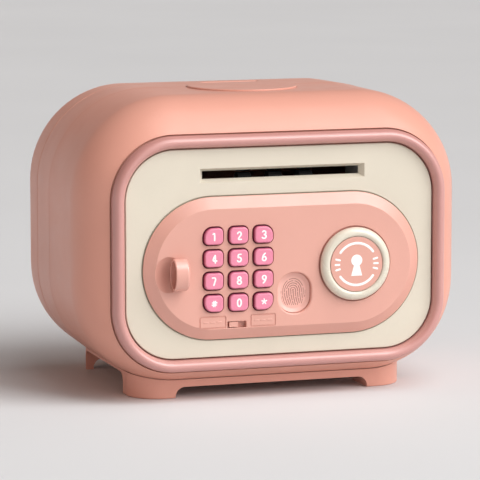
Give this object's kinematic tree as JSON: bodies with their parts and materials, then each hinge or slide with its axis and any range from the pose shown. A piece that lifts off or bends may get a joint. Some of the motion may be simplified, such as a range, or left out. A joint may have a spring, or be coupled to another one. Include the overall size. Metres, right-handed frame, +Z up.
{
  "type": "toy safe coin bank",
  "caption": "Rounded plastic toy safe with a bezelled cream face, a powered banknote slot, a coin slit on top and a hinged stadium door with keypad, pad, switch and dial.",
  "frame": {"origin": "on the floor, below the middle of the overall box", "axes": "+X to the right seen from the front, +Y towards the back, +Z up"},
  "size_m": [0.2, 0.1394, 0.151],
  "materials": {
    "case_pink": "fine satin moulded ABS, salmon pink",
    "bezel_mauve": "glossy moulded ABS, pink with a mauve cast",
    "panel_cream": "satin moulded ABS, warm cream",
    "key_magenta": "semi-gloss moulded keys, pink-magenta with white printed figures",
    "inner_plastic": "natural white moulded plastic",
    "steel": "zinc-plated or pressed steel",
    "brass": "machined brass",
    "rubber": "moulded rubber",
    "board_green": "solder-masked circuit board",
    "battery_wrap": "plain printed film sleeve on a steel can"
  },
  "bodies": {
    "case": {"main_shell": "case_pink", "rear_cover": "case_pink", "bezel_ring": "bezel_mauve", "front_panel": "panel_cream", "base_frame": "case_pink", "coin_plate": "case_pink", "battery_box": "inner_plastic", "battery_cover": "case_pink", "battery_cover_screw": "steel", "battery_1": "battery_wrap", "battery_2": "battery_wrap", "battery_3": "battery_wrap", "battery_contact_left": "steel", "battery_contact_right": "steel", "rear_screw_1": "steel", "rear_screw_2": "steel", "rear_screw_3": "steel", "rear_screw_4": "steel", "feed_frame": "inner_plastic", "feed_motor": "steel", "hinge_bracket": "steel", "hinge_pin": "steel"},
    "feed_roller": {"feed_shaft": "steel", "feed_roller_1": "rubber", "feed_roller_2": "rubber", "feed_roller_3": "rubber", "feed_gear": "inner_plastic"},
    "pinch_roller": {"pinch_roller": "rubber"},
    "motor_pinion": {"motor_pinion": "brass"},
    "door": {"door_panel": "case_pink", "door_back": "inner_plastic", "door_screw_1": "steel", "door_screw_2": "steel", "door_screw_3": "steel", "door_screw_4": "steel", "hinge_arm": "steel", "keypad_board": "board_green", "keypad_membrane": "rubber", "speaker": "steel", "latch_coil": "steel", "door_pull": "case_pink"},
    "knob": {"knob_ring": "panel_cream", "knob_badge": "case_pink", "knob_cam": "inner_plastic"},
    "fingerprint_pad": {"fingerprint_pad": "case_pink"},
    "language_switch": {"language_switch": "case_pink"},
    "latch_bolt": {"latch_bolt": "steel"},
    "key_1": {"key_1": "key_magenta"},
    "key_2": {"key_2": "key_magenta"},
    "key_3": {"key_3": "key_magenta"},
    "key_4": {"key_4": "key_magenta"},
    "key_5": {"key_5": "key_magenta"},
    "key_6": {"key_6": "key_magenta"},
    "key_7": {"key_7": "key_magenta"},
    "key_8": {"key_8": "key_magenta"},
    "key_9": {"key_9": "key_magenta"},
    "key_hash": {"key_hash": "key_magenta"},
    "key_0": {"key_0": "key_magenta"},
    "key_star": {"key_star": "key_magenta"}
  },
  "joints": [
    {"name": "door_hinge", "type": "hinge", "parent": "case", "child": "door", "pos_m": [0.083, -0.051, 0.0666], "axis": [0, 0, 1], "range_deg": [0, 95]},
    {"name": "feed_roller_turn", "type": "hinge", "parent": "case", "child": "feed_roller", "pos_m": [0, -0.044, 0.1181], "axis": [1, 0, 0], "continuous": true},
    {"name": "pinch_roller_turn", "type": "hinge", "parent": "case", "child": "pinch_roller", "pos_m": [0, -0.044, 0.1077], "axis": [1, 0, 0], "continuous": true},
    {"name": "motor_pinion_turn", "type": "hinge", "parent": "case", "child": "motor_pinion", "pos_m": [0, -0.03552, 0.12404], "axis": [1, 0, 0], "continuous": true},
    {"name": "knob_turn", "type": "hinge", "parent": "door", "child": "knob", "pos_m": [0.0371, -0.06075, 0.0664], "axis": [0, 1, 0], "range_deg": [0, 90]},
    {"name": "fingerprint_pad_press", "type": "slide", "parent": "door", "child": "fingerprint_pad", "axis": [0, 1, 0], "range_m": [0, 0.0008], "stiffness_N_per_m": 600},
    {"name": "language_switch_slide", "type": "slide", "parent": "door", "child": "language_switch", "axis": [1, 0, 0], "range_m": [0, 0.0039]},
    {"name": "latch_bolt_slide", "type": "slide", "parent": "door", "child": "latch_bolt", "axis": [-1, 0, 0], "range_m": [0, 0.0045]},
    {"name": "key_1_press", "type": "slide", "parent": "door", "child": "key_1", "axis": [0, 1, 0], "range_m": [0, 0.0012], "stiffness_N_per_m": 500},
    {"name": "key_2_press", "type": "slide", "parent": "door", "child": "key_2", "axis": [0, 1, 0], "range_m": [0, 0.0012], "stiffness_N_per_m": 500},
    {"name": "key_3_press", "type": "slide", "parent": "door", "child": "key_3", "axis": [0, 1, 0], "range_m": [0, 0.0012], "stiffness_N_per_m": 500},
    {"name": "key_4_press", "type": "slide", "parent": "door", "child": "key_4", "axis": [0, 1, 0], "range_m": [0, 0.0012], "stiffness_N_per_m": 500},
    {"name": "key_5_press", "type": "slide", "parent": "door", "child": "key_5", "axis": [0, 1, 0], "range_m": [0, 0.0012], "stiffness_N_per_m": 500},
    {"name": "key_6_press", "type": "slide", "parent": "door", "child": "key_6", "axis": [0, 1, 0], "range_m": [0, 0.0012], "stiffness_N_per_m": 500},
    {"name": "key_7_press", "type": "slide", "parent": "door", "child": "key_7", "axis": [0, 1, 0], "range_m": [0, 0.0012], "stiffness_N_per_m": 500},
    {"name": "key_8_press", "type": "slide", "parent": "door", "child": "key_8", "axis": [0, 1, 0], "range_m": [0, 0.0012], "stiffness_N_per_m": 500},
    {"name": "key_9_press", "type": "slide", "parent": "door", "child": "key_9", "axis": [0, 1, 0], "range_m": [0, 0.0012], "stiffness_N_per_m": 500},
    {"name": "key_hash_press", "type": "slide", "parent": "door", "child": "key_hash", "axis": [0, 1, 0], "range_m": [0, 0.0012], "stiffness_N_per_m": 500},
    {"name": "key_0_press", "type": "slide", "parent": "door", "child": "key_0", "axis": [0, 1, 0], "range_m": [0, 0.0012], "stiffness_N_per_m": 500},
    {"name": "key_star_press", "type": "slide", "parent": "door", "child": "key_star", "axis": [0, 1, 0], "range_m": [0, 0.0012], "stiffness_N_per_m": 500}
  ],
  "couplings": [
    {"joint": "pinch_roller_turn", "follows": "feed_roller_turn", "ratio": -1.1778},
    {"joint": "motor_pinion_turn", "follows": "feed_roller_turn", "ratio": -2.4}
  ]
}
